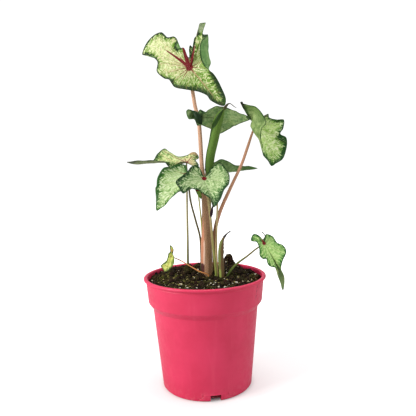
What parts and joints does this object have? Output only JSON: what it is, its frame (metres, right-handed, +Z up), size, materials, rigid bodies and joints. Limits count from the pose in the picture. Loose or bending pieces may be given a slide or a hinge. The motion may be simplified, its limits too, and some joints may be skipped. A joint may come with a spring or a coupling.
{
  "type": "potted caladium",
  "caption": "Young caladium with heart-shaped leaves on slim stalks, growing in a soil-filled plastic nursery pot that stands on a flat base.",
  "frame": {"origin": "centre of the pot's underside, on the surface that the pot stands on", "axes": "+Z up along the pot's axis, -Y towards the side that the top leaf faces, +X to the right seen from there"},
  "size_m": [0.1556, 0.12, 0.348],
  "materials": {
    "pot_plastic": "satin moulded polypropylene, pink",
    "potting_mix": "moist dark peat with pale perlite grains",
    "leaf_blade": "satin leaf, cream-green with a dark green margin and crimson veins",
    "young_leaf": "satin rolled young leaf, mid green",
    "withered_leaf": "limp withered leaf, yellow-green",
    "stalk": "smooth satin stalk, tan to olive with a pink flush",
    "sheath": "drying leaf sheath, olive-brown with a black tip"
  },
  "bodies": {
    "root": {"pot": "pot_plastic", "soil": "potting_mix", "crown_stem": "stalk", "blade_1": "leaf_blade", "blade_2": "leaf_blade", "blade_3": "leaf_blade", "blade_4": "leaf_blade", "blade_5": "leaf_blade", "blade_6": "leaf_blade", "blade_7": "leaf_blade", "blade_8": "leaf_blade", "blade_9": "withered_leaf", "blade_10": "young_leaf", "rolled_leaf": "young_leaf", "stalk_2": "stalk", "stalk_3": "stalk", "stalk_4": "stalk", "stalk_5": "stalk", "stalk_6": "stalk", "stalk_7": "stalk", "stalk_8": "stalk", "stalk_9": "stalk", "stalk_10": "stalk", "sheath_spear": "sheath"}
  },
  "joints": []
}
